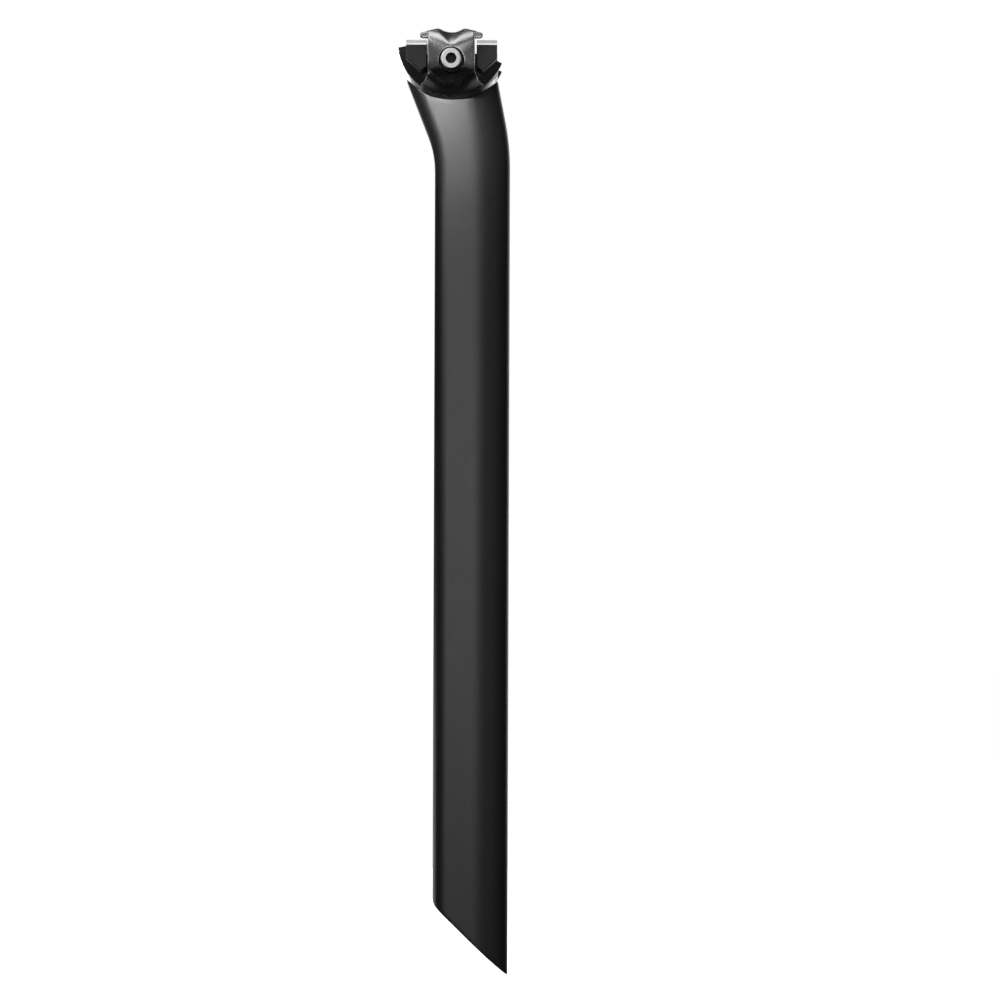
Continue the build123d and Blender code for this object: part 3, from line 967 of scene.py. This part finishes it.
class SEATPOST_OT_clamp(bpy.types.Operator):
    """Finishes the cradle and makes the two ears"""

    bl_idname = "seatpost.clamp"
    bl_label = "Cradle and ears"

    def execute(self, context):
        finish = context.scene.seatpost_finish
        sizes = context.scene.seatpost_ears
        dress("cradle", black_alloy(finish))
        gunmetal = gunmetal_alloy(finish, sizes.recess_radius)
        for side, ear, body in ((-1, "right_ear", "right_clamp"), (1, "left_ear", "left_clamp")):
            stand_in(ear_shape(sizes, ear, side, gunmetal), ear, body)
        return {"FINISHED"}


class SEATPOST_OT_fasteners(bpy.types.Operator):
    """Makes the bolt and finishes its washer and the nut"""

    bl_idname = "seatpost.fasteners"
    bl_label = "Bolt, washer and nut"

    def execute(self, context):
        steel = bolt_steel(context.scene.seatpost_finish)
        bolt = bolt_shape(context.scene.seatpost_fasteners, steel)
        stand_in(bolt, "clamp_bolt", "bolt")
        for node in ("bolt_washer", "sleeve_nut"):
            dress(node, steel)
        return {"FINISHED"}


def stage_paper(glow):
    """White paper with a faint grain, which glows by itself."""
    paper = Finish("stage_paper")
    grain = paper.noise(30.0, 2.0)
    return paper.set({
        "Base Color": paper.mix(grain, darker(WHITE, 0.9), darker(WHITE, 0.88)),
        "Roughness": 0.9,
        "Emission Color": WHITE,
        "Emission Strength": glow,
    })


def stage_object(name, mesh, material):
    """A stage piece that the camera sees, kept out of the metal's reflections."""
    mesh.materials.append(material)
    for polygon in mesh.polygons:
        polygon.use_smooth = True
    piece = bpy.data.objects.new(name, mesh)
    piece.visible_diffuse = False
    piece.visible_glossy = False
    piece.visible_shadow = False
    bpy.context.scene.collection.objects.link(piece)


def white_surround(stage):
    """A dome round everything and a floor under the post."""
    paper = stage_paper(stage.surround)
    shell = bmesh.new()
    bmesh.ops.create_uvsphere(shell, u_segments=48, v_segments=24, radius=stage.dome_radius)
    bmesh.ops.reverse_faces(shell, faces=shell.faces)
    dome = bpy.data.meshes.new("stage_dome")
    shell.to_mesh(dome)
    shell.free()
    stage_object("stage_dome", dome, paper)
    floor = bpy.data.meshes.new("stage_floor")
    reach = stage.floor_reach
    corners = [(-reach, -reach), (reach, -reach), (reach, reach), (-reach, reach)]
    floor.from_pydata([(x, y, -stage.floor_drop) for x, y in corners], [], [(0, 1, 2, 3)])
    stage_object("stage_floor", floor, paper)


def soft_box(name, place, target, width, height, radiance, spread=math.pi, only=()):
    """A rectangular light that the camera doesn't see. It lights everything, or some objects only."""
    light = bpy.data.lights.new(name, "AREA")
    light.shape = "RECTANGLE"
    light.size = width
    light.size_y = height
    # Blender's watts for an area light are four times its radiance and its area
    light.energy = 4.0 * radiance * width * height
    light.spread = spread
    lamp = bpy.data.objects.new(name, light)
    lamp.location = place
    lamp.rotation_euler = (Vector(target) - Vector(place)).to_track_quat("-Z", "Y").to_euler()
    lamp.visible_camera = False
    bpy.context.scene.collection.objects.link(lamp)
    if only:
        lit = bpy.data.collections.new("lit_by_" + name)
        for piece in only:
            lit.objects.link(piece)
        lamp.light_linking.receiver_collection = lit


HEAD = (TILT_AXIS.x, 0.0, 0.36)
UPPER_SHAFT = (0.0, 0.0, 0.25)
MID_SHAFT = (0.0, 0.0, 0.2)

# Each light that reaches every piece: its level's name, place, target, width and height
OPEN_LIGHTS = (
    ("key", (-0.22, -0.75, 0.95), HEAD, 0.95, 0.35),
    ("top", (-0.05, 0.2, 0.95), HEAD, 0.7, 0.4),
    ("front", (0.08, -1.4, 0.25), MID_SHAFT, 0.7, 0.6),
    ("side", (1.0, -0.8, 0.2), MID_SHAFT, 0.5, 1.0),
    ("bounce", (0.0, -0.75, -0.14), (0.0, -0.3, 0.35), 0.9, 0.45),
    ("glint", (-0.5, -0.8, 0.62), HEAD, 0.35, 0.3),
    ("fill", (-0.72, -1.25, 0.15), HEAD, 0.6, 0.5),
    ("right", (0.75, 1.1, 0.35), UPPER_SHAFT, 0.8, 1.0),
    ("left", (-0.7, 0.5, -0.1), UPPER_SHAFT, 0.7, 0.3),
    ("back", (0.0, 1.3, 0.2), MID_SHAFT, 1.6, 1.6),
)


def studio_lights(stage):
    """Soft boxes for the whole part, and four that light some pieces only."""
    for level, *box in OPEN_LIGHTS:
        soft_box(level + "_light", *box, getattr(stage, level))
    rail = [frame["nodes"]["arc_rail"]]
    soft_box("crescent_light", (-0.7, 0.5, 0.56), UPPER_SHAFT, 0.7, 0.5, stage.crescent, only=rail)
    clamp = [frame["nodes"][node] for node in ("arc_rail", "cradle", "bolt_washer", "sleeve_nut")]
    clamp += [bpy.data.objects[name] for name in ("right_ear_forging", "left_ear_forging", "socket_bolt")]
    for name, forward in (("clamp_front_light", 1.2), ("clamp_rear_light", -1.2)):
        soft_box(name, (forward, 0.0, 0.6), HEAD, 0.9, 0.6, stage.clamp, only=clamp)
    near = (-0.03, -0.16, 0.45)
    neck = (-0.024, -0.01, 0.37)
    post = [bpy.data.objects["post_shell"]]
    soft_box("shaft_light", near, neck, 0.04, 0.04, stage.shaft, stage.shaft_spread, post)


def studio_room(stage):
    """Even light from all round, shown without a film look."""
    world = bpy.data.worlds.new("studio")
    world.use_nodes = True
    background = world.node_tree.nodes["Background"]
    background.inputs["Color"].default_value = WHITE
    background.inputs["Strength"].default_value = stage.room
    bpy.context.scene.world = world
    bpy.context.scene.view_settings.view_transform = "Standard"


def side_camera(stage):
    """The camera, level and square to the right side of the post."""
    camera = bpy.data.cameras.new("camera")
    camera.sensor_width = 36.0
    camera.lens = camera.sensor_width * stage.camera_distance / stage.view_height
    camera.clip_start = 0.01
    eye = bpy.data.objects.new("camera", camera)
    eye.location = (stage.camera_forward, -stage.camera_distance, stage.camera_height)
    eye.rotation_euler = (math.pi / 2.0, stage.camera_roll, 0.0)
    bpy.context.scene.collection.objects.link(eye)
    bpy.context.scene.camera = eye


class SEATPOST_OT_stage(bpy.types.Operator):
    """Sets up the pale floor, the soft lights and the camera"""

    bl_idname = "seatpost.stage"
    bl_label = "Stage"

    def execute(self, context):
        stage = context.scene.seatpost_stage
        white_surround(stage)
        studio_lights(stage)
        studio_room(stage)
        side_camera(stage)
        return {"FINISHED"}


OPERATORS = (SEATPOST_OT_post, SEATPOST_OT_clamp, SEATPOST_OT_fasteners, SEATPOST_OT_stage)
SETTINGS = {
    "seatpost_post": SEATPOST_PG_post,
    "seatpost_ears": SEATPOST_PG_ears,
    "seatpost_fasteners": SEATPOST_PG_fasteners,
    "seatpost_finish": SEATPOST_PG_finish,
    "seatpost_stage": SEATPOST_PG_stage,
}


class SEATPOST_PT_panel(bpy.types.Panel):
    """Lists the pieces of the seatpost and their settings"""

    bl_idname = "SEATPOST_PT_panel"
    bl_label = "Seatpost"
    bl_space_type = "VIEW_3D"
    bl_region_type = "UI"
    bl_category = "Seatpost"

    def draw(self, context):
        for operator in OPERATORS:
            self.layout.operator(operator.bl_idname)
        for name, group in SETTINGS.items():
            box = self.layout.box()
            for field in group.__annotations__:
                box.prop(getattr(context.scene, name), field)


def register():
    for group in SETTINGS.values():
        bpy.utils.register_class(group)
    for name, group in SETTINGS.items():
        setattr(bpy.types.Scene, name, bpy.props.PointerProperty(type=group))
    for cls in OPERATORS + (SEATPOST_PT_panel,):
        bpy.utils.register_class(cls)


def unregister():
    for cls in (SEATPOST_PT_panel,) + OPERATORS:
        bpy.utils.unregister_class(cls)
    for name in SETTINGS:
        delattr(bpy.types.Scene, name)
    for group in SETTINGS.values():
        bpy.utils.unregister_class(group)


def main():
    register()
    bpy.ops.seatpost.post()
    bpy.ops.seatpost.clamp()
    bpy.ops.seatpost.fasteners()
    bpy.ops.seatpost.stage()


if __name__ == "__main__":
    main()
